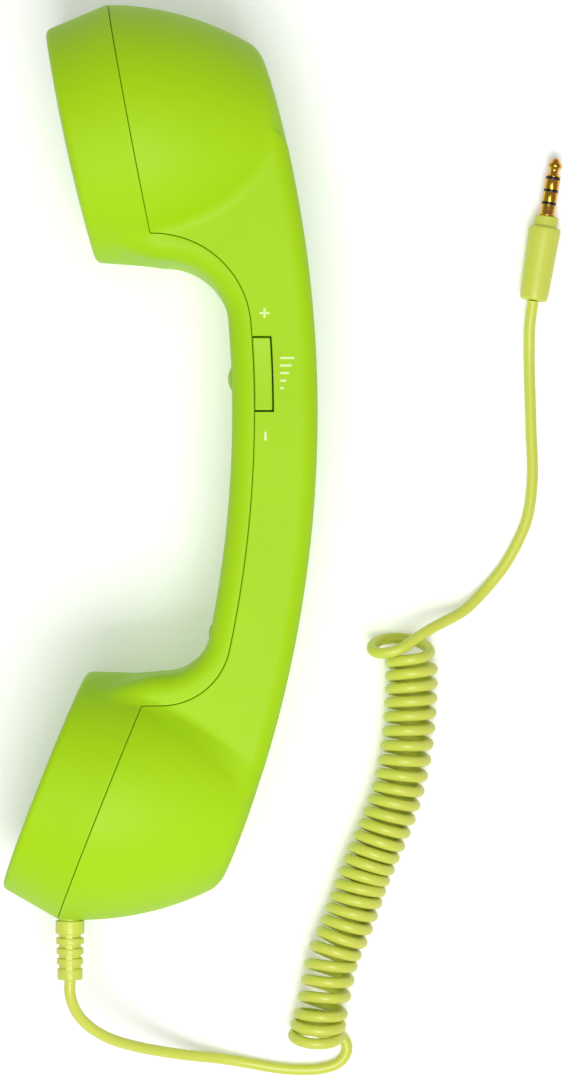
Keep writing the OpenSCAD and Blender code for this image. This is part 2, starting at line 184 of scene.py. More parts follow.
def cupField(cup, x, y, z):
    # a dome turned about a line along X, narrowed to the face by a cone, flat at the face
    ring = np.hypot(y - cup["axisY"], z)
    dome = np.hypot(ring + cup["curve"] - cup["radius"], x - cup["crownX"]) - cup["curve"]
    dx, dy = x - cup["face"][0], y - cup["face"][1]
    depth = dx * cup["into"][0] + dy * cup["into"][1]
    across = dx * cup["along"][0] + dy * cup["along"][1]
    part = np.maximum(depth / cup["rimDepth"], -2)
    wide = cup["faceRadius"] + (cup["rimHalf"] - cup["faceRadius"]) * part
    high = cup["faceRadius"] + (cup["rimHigh"] - cup["faceRadius"]) * part
    cone = (np.hypot((across - cup["rimShift"] * part) / wide, z / high) - 1) * np.minimum(wide, high)
    depth = depth + domed(cup, np.hypot(across, z))
    return roundMax(np.maximum(dome, cone), -depth, shell["faceEdge"])


def seamField(x, y, arc):
    # how far a point lies behind the seam, below zero in front of it
    low = roundMax(arc - handle["seamRadius"], y - earCup["seamFoot"][1], handle["earBend"])
    low = roundMax(low, mouthCup["seamFoot"][1] - y, handle["mouthBend"])
    lines = []
    for cup in (earCup, mouthCup):
        end, foot = np.array(cup["seamEnd"]), np.array(cup["seamFoot"])
        run = (end - foot) / np.linalg.norm(end - foot) * cup["side"]
        lines.append((x - foot[0]) * run[1] - (y - foot[1]) * run[0])
    return np.minimum(low, np.where(y > 0, lines[0], lines[1]))


def bodyField(p):
    # the whole handset: below zero inside, nearly the distance to its skin
    x, y, z = p[..., 0], p[..., 1], p[..., 2]
    arc = np.hypot(x - handle["center"][0], y - handle["center"][1])
    hand = roundMax(arc - handle["gripRadius"], y - handle["earUnder"], handle["earWeb"])
    hand = roundMax(hand, handle["mouthUnder"] - y, handle["mouthWeb"])
    bar = roundMax(-hand, np.abs(z) - handle["halfWidth"], handle["gripEdge"])
    bar = np.maximum(bar, np.maximum(y - handle["earInside"], handle["mouthInside"] - y))
    for cup in (earCup, mouthCup):
        foot = cup["seamFoot"]
        ahead = -(x - foot[0]) * cup["into"][0] - (y - foot[1]) * cup["into"][1]
        faded = roundMax(bar, ahead - handle["fadeLength"], handle["fadeRound"])
        bar = np.where(y * cup["side"] > cup["fadeFrom"], faded, bar)
    ahead = -seamField(x, y, arc) / handle["webBlendReach"]
    k = smooth(ahead) * smooth(np.abs(z) / handle["webBlendHigh"])
    k = handle["creaseBlend"] + (handle["webBlend"] - handle["creaseBlend"]) * k
    for cup in (earCup, mouthCup):
        bar = softMin(bar, cupField(cup, x, y, z), k)
    edge = (earCup["corner"][1] - np.abs(y)) / handle["edgeFade"]
    edge = shell["cornerEdge"] + (handle["backEdge"] - shell["cornerEdge"]) * smooth(edge)
    return roundMax(bar, arc - handle["backRadius"], edge)


def castOut(origin, direction, steps=80):
    # walks every ray outward by its distance to the skin until it stands on the skin
    reach = np.full(np.broadcast_shapes(origin.shape, direction.shape)[:-1], 0.02)
    for _ in range(steps):
        reach = np.maximum(reach - bodyField(origin + reach[..., None] * direction), 0)
    return origin + reach[..., None] * direction


def at(points, height=0.0):
    # plan points lifted to a height
    points = np.asarray(points, float)
    return np.concatenate([points, np.full(points.shape[:-1] + (1,), float(height))], -1)


def arcPoints(center, radius, start, end, step):
    # centre plus radius times cosine and sine, at about one point per step of length
    n = max(2, int(abs(end - start) * radius / step) + 1)
    a = np.linspace(start, end, n)
    return np.stack([center[0] + radius * np.cos(a), center[1] + radius * np.sin(a)], 1)


def lengths(points):
    # running length of a line at each of its points
    return np.concatenate([[0], np.cumsum(np.linalg.norm(np.diff(points, axis=0), axis=1))])


def along(points, places):
    # points of a line at given running lengths
    s = lengths(points)
    return np.stack([np.interp(places, s, points[:, i]) for i in range(points.shape[1])], -1)


def bendOf(big, r, y):
    # centre of a bend that touches the arc of radius big from inside, and the angle where it does
    cx, cy = handle["center"]
    x = cx + math.sqrt((big - r) ** 2 - (y - cy) ** 2)
    return (x, y), math.atan2(y - cy, x - cx)


def handleSeam(step):
    # the seam between the feet of its two straight ends: bend, long arc, bend
    earY = earCup["seamFoot"][1] - handle["earBend"]
    earAt, earTurn = bendOf(handle["seamRadius"], handle["earBend"], earY)
    mouthY = mouthCup["seamFoot"][1] + handle["mouthBend"]
    mouthAt, mouthTurn = bendOf(handle["seamRadius"], handle["mouthBend"], mouthY)
    quarter = math.pi / 2
    parts = [
        np.array([earCup["seamFoot"]]),
        arcPoints(earAt, handle["earBend"], quarter, earTurn, step),
        arcPoints(handle["center"], handle["seamRadius"], earTurn, mouthTurn, step)[1:-1],
        arcPoints(mouthAt, handle["mouthBend"], mouthTurn, -quarter, step),
        np.array([mouthCup["seamFoot"]]),
    ]
    return np.concatenate(parts)


def rimSeam(cup, step):
    # the straight seam of a cup, from its end to its foot, spaced evenly round the rim
    turns = np.linspace(0, cup["footTurn"], int(math.degrees(cup["footTurn"]) / step) + 2)
    end, foot = np.array(cup["seamEnd"]), np.array(cup["seamFoot"])
    run = unit(foot - end)
    down = (1 - np.cos(turns)) * cup["rimHalf"]
    spine = end + run * np.maximum(down, cup["rimHalf"])[:, None]
    return end + run * down[:, None], spine, down


def sideways(points):
    # unit normals of a plan line that runs from ear to mouth, towards the back
    runs = unit(np.diff(points, axis=0))
    runs = np.concatenate([runs[:1], runs, runs[-1:]])
    mean = unit(runs[1:] + runs[:-1])
    tight = np.sum(mean * runs[1:], axis=1, keepdims=True)
    return np.stack([-mean[:, 1], mean[:, 0]], 1), 1 / np.maximum(tight, 0.5)


def backOutline():
    # the silhouette behind the seam: ear dome, back arc, mouth dome
    def domeLine(cup):
        x = np.linspace(cup["seamEnd"][0], cup["corner"][0], 120)
        r = cup["radius"] - cup["curve"] + np.sqrt(cup["curve"] ** 2 - (x - cup["crownX"]) ** 2)
        return np.stack([x, cup["axisY"] + cup["side"] * r], 1)

    cx, cy = handle["center"]
    turns = [math.atan2(cup["corner"][1] - cy, cup["corner"][0] - cx) for cup in (earCup, mouthCup)]
    back = arcPoints(handle["center"], handle["backRadius"], turns[0], turns[1], 1.0)
    ear, mouth = domeLine(earCup), domeLine(mouthCup)[::-1]
    line = np.concatenate([ear, back[1:-1], mouth])
    return line, lengths(line)[[len(ear) - 1, len(ear) + len(back) - 3]]


def placeOn(line, point):
    # running length of the line's point that is nearest to a given one
    gaps = np.linalg.norm(line - np.array(point), axis=1)
    return lengths(line)[int(np.argmin(gaps))]


def edgeRoll(start, aim, spine, sign):
    # where the skin meets the parting face: the corner, a point before it, and the way inward
    top = castOut(start, np.broadcast_to(upDir * sign, start.shape))
    high = np.abs(top[..., 2:3] - start[..., 2:3])
    lean = np.minimum(shell["edge"] / np.maximum(high, 1e-6), 0.2)
    near = castOut(start, np.cos(lean) * upDir * sign + np.sin(lean) * aim)
    inward = unit(spine - top)
    low = top + shell["edge"] * inward
    mids = []
    for t in (1 / 3, 2 / 3):
        mids.append((1 - t) ** 2 * near + 2 * t * (1 - t) * top + t * t * low)
    return near, mids, low, top + shell["wall"] * inward


def evenAngles(start, aim, columns):
    # angles for each section: closer together where the skin bends, the same from row to row
    angles = np.radians(np.linspace(-90, 90, 181))
    rays = np.cos(angles)[:, None] * aim[:, None, :] + np.sin(angles)[:, None] * upDir
    skin = castOut(start[:, None, :], rays, 50)
    steps = np.diff(skin, axis=1)
    runs = unit(steps)
    turn = np.arccos(np.clip(np.sum(runs[:, 1:] * runs[:, :-1], axis=2), -1, 1))
    cost = np.linalg.norm(steps, axis=2)
    cost[:, 1:] += 0.7 * turn
    cost[:, :-1] += 0.7 * turn
    cost = cost + 0.15 * cost.mean(axis=1, keepdims=True)
    total = np.concatenate([np.zeros((len(cost), 1)), np.cumsum(cost, axis=1)], axis=1)
    wanted = np.linspace(0, 1, columns)
    table = np.array([np.interp(wanted, row / row[-1], angles) for row in total])
    width = 7  # rows are averaged over their neighbours
    padded = np.concatenate([table[:1].repeat(width, 0), table, table[-1:].repeat(width, 0)])
    kernel = np.hanning(2 * width + 3)[1:-1]
    kernel /= kernel.sum()
    return np.stack([np.convolve(padded[:, j], kernel, "valid") for j in range(columns)], 1)


def sections(plan, aim, spine, columns):
    # one closed ring of points per station: outer skin, rolled edges, inner wall
    start, spine = at(plan), at(spine)
    aim = at(aim)
    turns = evenAngles(start, aim, columns)
    rays = np.cos(turns)[..., None] * aim[:, None, :] + np.sin(turns)[..., None] * upDir
    outer = castOut(start[:, None, :], rays)
    nearLow, midsLow, lipLow, inLow = edgeRoll(start, aim, spine, -1)
    nearTop, midsTop, lipTop, inTop = edgeRoll(start, aim, spine, 1)
    outer[:, 0], outer[:, -1] = nearLow, nearTop
    inner = outer + shell["wall"] * unit(spine[:, None, :] - outer)
    rollLow = np.stack([inLow, lipLow, midsLow[1], midsLow[0]], 1)
    rollTop = np.stack([midsTop[0], midsTop[1], lipTop, inTop], 1)
    return rollLow, outer, rollTop, inner


def gridFaces(rows, columns, around=False, down=False):
    # four-sided faces of a grid of points stored row after row
    i = np.arange(rows if down else rows - 1)[:, None]
    j = np.arange(columns if around else columns - 1)[None, :]
    ni, nj = (i + 1) % rows, (j + 1) % columns
    quads = np.stack([i * columns + j, ni * columns + j, ni * columns + nj, i * columns + nj], -1)
    return quads.reshape(-1, 4)


def makePiece(name, points, faces, lift=midZ, sharp=38):
    # a mesh from points in millimetres, doubles merged, faces outward, smooth but for sharp edges
    mesh = bpy.data.meshes.new(name)
    points = np.asarray(points, float) + np.array([0, 0, lift])
    mesh.from_pydata((points * mm).tolist(), [], [list(map(int, f)) for f in faces])
    work = bmesh.new()
    work.from_mesh(mesh)
    bmesh.ops.remove_doubles(work, verts=work.verts, dist=1e-6)
    bmesh.ops.dissolve_degenerate(work, edges=work.edges, dist=1e-7)
    bmesh.ops.recalc_face_normals(work, faces=work.faces)
    work.to_mesh(mesh)
    work.free()
    mesh.shade_smooth()
    mesh.set_sharp_from_angle(angle=math.radians(sharp))
    piece = bpy.data.objects.new(name, mesh)
    bpy.context.scene.collection.objects.link(piece)
    return piece


def lathe(profile, base, axis, sides):
    # a profile of (radius, height) pairs turned about an axis that starts at base
    axis = unit(np.asarray(axis, float))
    side = unit(np.cross(axis, [0.31, 0.17, 0.93]))
    other = np.cross(axis, side)
    turn = np.linspace(0, 2 * np.pi, sides, endpoint=False)
    r, h = np.asarray(profile, float).T
    rim = np.cos(turn)[:, None] * side + np.sin(turn)[:, None] * other
    points = np.asarray(base, float) + r[:, None, None] * rim + h[:, None, None] * axis
    return points.reshape(-1, 3), gridFaces(len(r), sides, around=True)


def curvedEdge(center, radius, start, end, n):
    # part of a circle in a profile, angles in degrees
    a = np.radians(np.linspace(start, end, n))
    return [(center[0] + radius * math.cos(t), center[1] + radius * math.sin(t)) for t in a]


def joined(*parts):
    # several point and face lists as one
    points, faces, count = [], [], 0
    for p, f in parts:
        points.append(p)
        faces += [[int(i) + count for i in face] for face in f]
        count += len(p)
    return np.concatenate(points), faces


def cutWith(piece, cutter):
    # takes the cutter's volume out of a closed piece
    change = piece.modifiers.new("cut", "BOOLEAN")
    change.operation = "DIFFERENCE"
    change.solver = "EXACT"
    change.object = cutter
    bpy.context.view_layer.update()
    made = bpy.data.meshes.new_from_object(piece.evaluated_get(bpy.context.evaluated_depsgraph_get()))
    piece.modifiers.clear()
    piece.data = made
    made.shade_smooth()
    made.set_sharp_from_angle(angle=math.radians(38))
    bpy.data.objects.remove(cutter)


def dress(piece, material, body="root", nodes=()):
    # material, the body that carries the piece, and the CAD nodes that it stands for
    piece.data.materials.clear()
    piece.data.materials.append(material)
    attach(piece, body)
    if nodes:
        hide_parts(*nodes)
    return piece


class Wire:
    # a shader socket; arithmetic on it adds Math nodes
    def __init__(self, bench, socket):
        self.bench = bench
        self.socket = socket

    def math(self, operation, first, second):
        return self.bench.node("ShaderNodeMath", {"operation": operation}, {0: first, 1: second})

    def __add__(self, other):
        return self.math("ADD", self, other)

    def __sub__(self, other):
        return self.math("SUBTRACT", self, other)

    def __mul__(self, other):
        return self.math("MULTIPLY", self, other)

    def __radd__(self, other):
        return self.math("ADD", other, self)

    def __rsub__(self, other):
        return self.math("SUBTRACT", other, self)

    def __rmul__(self, other):
        return self.math("MULTIPLY", other, self)


class Finish:
    # one material while it is being put together
    def __init__(self, name, **fixed):
        self.material = bpy.data.materials.new(name)
        self.material.use_nodes = True
        self.tree = self.material.node_tree
        self.skin = self.tree.nodes["Principled BSDF"]
        self.place = self.node("ShaderNodeTexCoord", output="Object")
        for key, value in fixed.items():
            self.skin.inputs[key].default_value = value

    def node(self, kind, settings=None, inputs=None, output=0):
        made = self.tree.nodes.new(kind)
        for key, value in (settings or {}).items():
            setattr(made, key, value)
        for key, value in (inputs or {}).items():
            self.feed(made.inputs[key], value)
        return Wire(self, made.outputs[output])

    def feed(self, socket, value):
        if isinstance(value, Wire):
            self.tree.links.new(value.socket, socket)
        else:
            socket.default_value = value

    def speckle(self, size, detail):
        # noise whose grains are about size millimetres across
        wants = {"Vector": self.place, "Scale": 1 / (size * mm), "Detail": detail}
        return self.node("ShaderNodeTexNoise", None, wants)

    def blend(self, part, first, second):
        wants = {0: part, 6: first, 7: second}
        return self.node("ShaderNodeMix", {"data_type": "RGBA"}, wants, output=2)

    def bump(self, height, depth, strength):
        wants = {"Height": height, "Distance": depth * mm, "Strength": strength}
        self.set("Normal", self.node("ShaderNodeBump", None, wants))

    def set(self, key, value):
        self.feed(self.skin.inputs[key], value)


def tint(r, g, b):
    # an ordinary screen colour from 0 to 255 as the linear colour that the shader wants
    linear = [((c / 255 + 0.055) / 1.055) ** 2.4 if c > 10 else c / 255 / 12.92 for c in (r, g, b)]
    return (*linear, 1.0)


def moulded(name, color, rough, grain=0.35, depth=0.012, shift=0.06, shine=0.5):
    # moulded plastic: slow changes of tone, a fine even grain, and gloss that varies a little
    f = Finish(name, **{"IOR": 1.48, "Specular IOR Level": shine})
    slow, fine = f.speckle(35, 2), f.speckle(grain, 2)
    deep = [c * (1 - shift) for c in color[:3]] + [1.0]
    light = [min(c * (1 + shift), 1) for c in color[:3]] + [1.0]
    f.set("Base Color", f.blend(slow * 0.8 + fine * 0.2, deep, light))
    f.set("Roughness", rough + (f.speckle(6, 4) - 0.5) * 0.12 + (fine - 0.5) * 0.06)
    f.bump(fine, depth, 0.6)
    return f.material


def metal(name, color, rough, stretch=(1, 1, 1)):
    # metal with fine tool lines; stretch draws the lines out along an axis
    f = Finish(name, Metallic=1.0)
    f.place = f.node("ShaderNodeMapping", None, {"Vector": f.place, "Scale": stretch})
    lines = f.speckle(0.12, 2)
    patches = f.speckle(2.5, 3)
    dull = [c * 0.82 for c in color[:3]] + [1.0]
    f.set("Base Color", f.blend(patches * 0.7 + lines * 0.3, dull, color))
    f.set("Roughness", rough + (lines - 0.5) * 0.16 + (patches - 0.5) * 0.08)
    f.bump(lines, 0.004, 0.5)
    return f.material


lookAt = {
    "limeShell": moulded("limeShell", tint(170, 220, 16), 0.52, shine=0.25),
    "limeButton": moulded("limeButton", tint(171, 222, 18), 0.48, shine=0.3),
    "limeCord": moulded("limeCord", tint(212, 219, 88), 0.36, grain=0.5, depth=0.008, shift=0.05),
    "markInk": moulded("markInk", tint(226, 246, 170), 0.5, grain=0.2, shift=0.03),
    "gold": metal("gold", tint(236, 176, 74), 0.2, (1, 5, 1)),
    "steel": metal("steel", tint(196, 198, 200), 0.32),
    "darkSteel": metal("darkSteel", tint(70, 72, 74), 0.4),
    "copper": metal("copper", tint(190, 110, 70), 0.3, (1, 1, 6)),
    "blackPlastic": moulded("blackPlastic", tint(22, 20, 20), 0.35, shift=0.2),
    "blackRubber": moulded("blackRubber", tint(34, 34, 35), 0.7, grain=0.6, shift=0.2),
    "greenBoard": moulded("greenBoard", tint(22, 84, 46), 0.4, shift=0.12),
    "paperCone": moulded("paperCone", tint(214, 210, 200), 0.8, grain=0.5, depth=0.03),
    "redWire": moulded("redWire", tint(176, 34, 30), 0.4),
    "yellowWire": moulded("yellowWire", tint(214, 176, 40), 0.4),
    "whiteWire": moulded("whiteWire", tint(226, 226, 220), 0.4),
}
print("finishes made")

# the camera hangs straight above and takes in shownHeight at the height shownAt
view = {"x": 27.7, "y": -17.93, "height": 950.0, "shownHeight": 248.28, "shownAt": 30.0, "film": 36.0}
camera = bpy.data.cameras.new("camera")
camera.sensor_width = view["film"]
camera.lens = view["film"] * (view["height"] - view["shownAt"]) / view["shownHeight"]
cameraObject = bpy.data.objects.new("camera", camera)
cameraObject.location = (view["x"] * mm, view["y"] * mm, view["height"] * mm)
bpy.context.scene.collection.objects.link(cameraObject)
bpy.context.scene.camera = cameraObject

cord = {
    "diameter": 2.6,
    "coilRadius": 5.0,
    "pitch": 3.27,
    "startTurn": -70.0,
    "endTurn": 48.0,
    "stepsPerTurn": 28,
    "spacing": 1.15,
    "sides": 16,
    # where the turns stand further apart or closer: extra pitch, place from the coil's top, reach
    "uneven": ((0.4, 24, 9), (-0.35, 56, 8), (0.6, 81, 5), (1.9, 88, 1.8), (-0.9, 93.5, 3)),
    # how many turns open out at each end, and how far they widen, move aside, lean and climb
    "topEnd": {"turns": 1.3, "wider": 1.4, "aside": -3.8, "lean": 3.5, "climb": 2.3, "twist": 1.7},
    "lowEnd": {"turns": 3.2, "wider": 0.45, "aside": -0.3, "lean": 1.6, "climb": 0.0, "twist": 0.0},
}
# the cord's route as listed points: from the boot to the coil, the coil's own middle line, and on to the plug
leadPath = [[-20.9, -118.9, 30.3], [-20.9, -122.5, 29.8], [-19.5, -126.8, 27.8], [-16.5, -130.6, 24.6],
    [-12, -133.8, 20.4], [-6.6, -136.1, 15.6], [-0.7, -137.9, 10.8], [5.7, -139.4, 6.4], [13.1, -140.6, 3],
    [20, -141.9, 1.5], [26, -143, 1.3], [32.1, -143.5, 1.3], [37.3, -143.2, 1.3], [41.3, -141.8, 1.3],
    [43.2, -139, 1.3], [42.2, -136, 1.5]]
curlPath = [[58.2, -42.3, 6.3], [58.3, -52, 6.3], [57.8, -61, 6.3], [57, -68, 6.3], [55.8, -74, 6.3],
    [54.1, -80, 6.3], [51.9, -86, 6.3], [49.3, -92, 6.3], [46.8, -98, 6.3], [44.8, -104, 6.3],
    [42.5, -110, 6.3], [39.9, -116, 6.3], [38.5, -122, 6.3], [37.1, -129, 6.3], [36, -136.3, 6.3]]
farPath = [[62.4, -39.1, 8.6], [66.2, -37.1, 6.6], [71, -34.5, 3.9], [75.7, -30, 1.8], [80.2, -24.5, 1.3],
    [83.7, -18.4, 1.3], [86, -12.6, 1.3], [87, -6, 1.3], [87.2, 0, 1.3], [86.9, 7, 1.3],
    [86.7, 14, 1.3], [86.5, 21, 1.3], [86.4, 27, 1.7], [86.5, 33, 2.9], [87.2, 38.7, 3.9]]


def spline(points, spacing):
    # a smooth curve through the points, by Catmull and Rom's rule, then spaced evenly
    p = np.asarray(points, float)
    p = np.concatenate([2 * p[:1] - p[1:2], p, 2 * p[-1:] - p[-2:-1]])
    t = np.linspace(0, 1, 12, endpoint=False)[None, :, None]
    a, b, c, d = (p[i : len(p) - 3 + i, None, :] for i in range(4))
    curve = 0.5 * (2 * b + (c - a) * t + (2 * a - 5 * b + 4 * c - d) * t**2 + (3 * b - a - 3 * c + d) * t**3)
    curve = np.concatenate([curve.reshape(-1, 3), p[-2:-1]])
    s = lengths(curve)
    return along(curve, np.linspace(0, s[-1], int(s[-1] / spacing) + 1))


def helix():
    # middle line + (radius cos + aside) to the right + radius sin up + (climb + twist cos - lean sin) ahead
    axis = spline(curlPath[::-1], 0.5)
    s = lengths(axis)
    fromTop = s[-1] - s
    pitch = np.full(len(s), cord["pitch"])
    for extra, place, reach in cord["uneven"]:
        pitch += extra * np.exp(-(((fromTop - place) / reach) ** 2))
    turned = np.concatenate([[0], np.cumsum(np.diff(s) / pitch[1:])])
    partTurn = (cord["startTurn"] - cord["endTurn"]) / 360 % 1
    turns = round(turned[-1] - partTurn) + partTurn
    wanted = np.linspace(0, turns, int(turns * cord["stepsPerTurn"]))
    place = np.interp(wanted, turned * turns / turned[-1], s)
    ahead = unit(along(axis, np.minimum(place + 1, s[-1])) - along(axis, np.maximum(place - 1, 0)))
    right = np.stack([ahead[:, 1], -ahead[:, 0], np.zeros(len(ahead))], 1)
    angle = np.radians(cord["startTurn"]) - 2 * np.pi * wanted
    c, v = np.cos(angle)[:, None], np.sin(angle)[:, None]
    across, forward = cord["coilRadius"] * c, 0.0
    for end, fromEnd in ((cord["topEnd"], turns - wanted), (cord["lowEnd"], wanted)):
        part = smooth(1 - fromEnd / end["turns"])[:, None]
        across = across + part * (end["wider"] * c + end["aside"])
        forward = forward + part * (end["climb"] + end["twist"] * c - end["lean"] * v)
    return along(axis, place) + across * right + cord["coilRadius"] * v * upDir + forward * ahead


def tube(path, radius, sides):
    # a ring of points carried along a path without twisting
    ahead = unit(np.gradient(path, axis=0))
    side = unit(np.cross(upDir, ahead[0]))
    frames = []
    for direction in ahead:
        side = unit(side - direction * (side @ direction))
        frames.append(side)
    side = np.array(frames)
    other = np.cross(ahead, side)
    turn = np.linspace(0, 2 * np.pi, sides, endpoint=False)[None, :, None]
    ring = np.cos(turn) * side[:, None, :] + np.sin(turn) * other[:, None, :]
    points = (path[:, None, :] + radius * ring).reshape(-1, 3)
    faces = gridFaces(len(path), sides, around=True).tolist()
    last = (len(path) - 1) * sides
    return points, faces + [list(range(sides)), list(range(last, last + sides))]


cordLine = spline(np.concatenate([leadPath, helix(), farPath]), cord["spacing"])
points, faces = tube(cordLine, cord["diameter"] / 2, cord["sides"])
curlyCord = makePiece("curlyCord", points, faces, lift=0)
dress(curlyCord, lookAt["limeCord"], nodes=["lead_cord", "curly_cord", "plug_lead"])


def rearStations():
    # every station of the seam with its aim at the back outline and its inner spine
    line, (cornerEar, cornerMouth) = backOutline()
    total = lengths(line)[-1]
    creaseEar, creaseMouth = (placeOn(line, cup["creaseEnd"]) for cup in (earCup, mouthCup))
    middle = handleSeam(shell["spacing"])
    s = lengths(middle)
    guides = handle["skinGuides"]
    knots = [s[0]] + [s[int(np.argmin(np.abs(middle[:, 1] - y)))] for y, _ in guides] + [s[-1]]
    aims = [creaseEar] + [placeOn(line, point) for _, point in guides] + [creaseMouth]
    earSeam, earSpine, earDown = rimSeam(earCup, shell["rimStep"])
    mouthSeam, mouthSpine, mouthDown = (part[::-1] for part in rimSeam(mouthCup, shell["rimStep"]))
    plan = np.concatenate([earSeam, middle[1:-1], mouthSeam])
    spine = np.concatenate([earSpine, middle[1:-1], mouthSpine])
    earKnots = [0, shell["cornerPart"] * earDown[-1], earDown[-1]]
    mouthKnots = [-mouthDown[0], -shell["cornerPart"] * mouthDown[0], 0]
    target = np.concatenate([
        np.interp(earDown, earKnots, [0, cornerEar, creaseEar]),
        np.interp(s[1:-1], knots, aims),
        np.interp(-mouthDown, mouthKnots, [creaseMouth, cornerMouth, total]),
    ])
    target[0], target[-1] = 0.2, total - 0.2
    return plan, spine, along(line, target)


def offsetSeam(plan, spine, toward):
    # the seam line moved by the gap, with its inner spine, and its normals
    normal, stretch = sideways(plan)
    move = toward * shell["gap"] * normal * stretch
    return plan + move, spine + move, normal


def closeEnds(parts, spine):
    # the first and last section shrink to one point on the skin and one inside
    for row in (0, -1):
        tip = parts[1][row].mean(axis=0)
        inward = unit(at(spine[row]) - tip)
        parts[0][row] = [tip + shell["wall"] * inward, tip + shell["edge"] * inward, tip, tip]
        parts[2][row] = parts[0][row][::-1]
        parts[1][row] = tip
        parts[3][row] = tip + shell["wall"] * inward


def makeRearShell():
    # closed rings along the whole seam, from the ear cup's end round the handle to the mouth cup's end
    plan, spine, target = rearStations()
    plan, spine, _ = offsetSeam(plan, spine, 1)
    aim = unit(target - plan)
    parts = sections(plan, aim, spine, shell["columns"])
    closeEnds(parts, spine)
    inner = parts[3][:, 2:-2:3][:, ::-1]
    rings = np.concatenate([parts[0], parts[1], parts[2], inner], axis=1)
    return rings.reshape(-1, 3), gridFaces(rings.shape[0], rings.shape[1], around=True)


seamStrip = {"deep": 2.03, "thick": 0.57, "ahead": 0.12, "behind": 1.4}


def makeSeamLip():
    # a thin strip just under the skin that closes the seam from inside, above and below
    plan, spine, _ = rearStations()
    normal, _ = sideways(plan)
    plan, spine, normal = plan[2:-2], at(spine[2:-2]), at(normal[2:-2])
    low = seamStrip["deep"] + seamStrip["thick"]
    corners = [(seamStrip["deep"], -seamStrip["behind"]), (seamStrip["deep"], seamStrip["ahead"]),
        (low, seamStrip["ahead"]), (low, -seamStrip["behind"])]
    parts = []
    for sign in (1, -1):
        top = castOut(at(plan), np.broadcast_to(upDir * sign, (len(plan), 3)))
        inward = unit(spine - top)
        ring = np.stack([top + d * inward + n * normal for d, n in corners], 1)
        faces = gridFaces(len(plan), 4, around=True).tolist()
        last = 4 * (len(plan) - 1)
        parts.append((ring.reshape(-1, 3), faces + [[3, 2, 1, 0], [last, last + 1, last + 2, last + 3]]))
    return joined(*parts)


rearShell = makePiece("rearShell", *makeRearShell())
seamLip = makePiece("seamLip", *makeSeamLip())
print("rear shell made,", len(rearShell.data.polygons), "faces")


def frontBody():
    # the handle's finger side, and the stretches of the seam that it leaves to the two caps
    seam = handleSeam(shell["spacing"])
    normal, _ = sideways(seam)
    turn = np.degrees(np.arctan2(normal[:, 1], normal[:, 0]))
    first, last = np.flatnonzero(np.abs(turn) < handle["bodyTurn"])[[0, -1]]
    moved, _, normal = offsetSeam(seam, seam, -1)
    span = slice(first, last + 1)
    parts = sections(moved[span], -normal[span], moved[span], shell["frontColumns"])
    ear = (moved[: first + 1], -normal[: first + 1])
    mouth = (moved[last:][::-1], -normal[last:][::-1])
    return parts, ear, mouth


def capLoop(cup, foot, section):
    # the closed edge of a cap, point by point round it: along the seam above, back along it below,
    # and over the first section of the handle; each point with its rolled edge and its inner spine
    footPlan, footAim = foot
    rimPlan, rimSpine, _ = rimSeam(cup, shell["rimStep"])
    run = unit(np.array(cup["seamFoot"]) - np.array(cup["seamEnd"])) * cup["side"]
    back = np.array([-run[1], run[0]])
    rimPlan, rimSpine = rimPlan - shell["gap"] * back, rimSpine - shell["gap"] * back
    start = at(np.concatenate([footPlan[::-1], rimPlan[::-1][1:]]))
    spine = at(np.concatenate([footPlan[::-1], rimSpine[::-1][1:]]))
    aim = at(np.concatenate([footAim[::-1], np.repeat(-back[None, :], len(rimPlan) - 1, 0)]))
    sides = []
    for sign in (1, -1):
        near, mids, lip, wall = edgeRoll(start, aim, spine, sign)
        sides.append(np.stack([near, mids[0], mids[1], lip, wall], 1))
    tip = (sides[0][-1, 0] + sides[1][-1, 0]) / 2
    inward = unit(spine[-1] - tip)
    sides[0][-1] = [tip, tip, tip, tip + shell["edge"] * inward, tip + shell["wall"] * inward]
    seamPart = np.concatenate([sides[0], sides[1][::-1][1:]])
    skinRow, wallRow = (row[1:-1] for row in section)
    blank = np.zeros_like(skinRow)
    crossPart = np.stack([skinRow, blank, blank, blank, wallRow], 1)
    onSeam = np.arange(len(seamPart) + len(crossPart)) < len(seamPart)
    spines = np.concatenate([spine, spine[::-1][1:], np.repeat(spine[:1], len(crossPart), 0)])
    return np.concatenate([seamPart, crossPart]), onSeam, spines


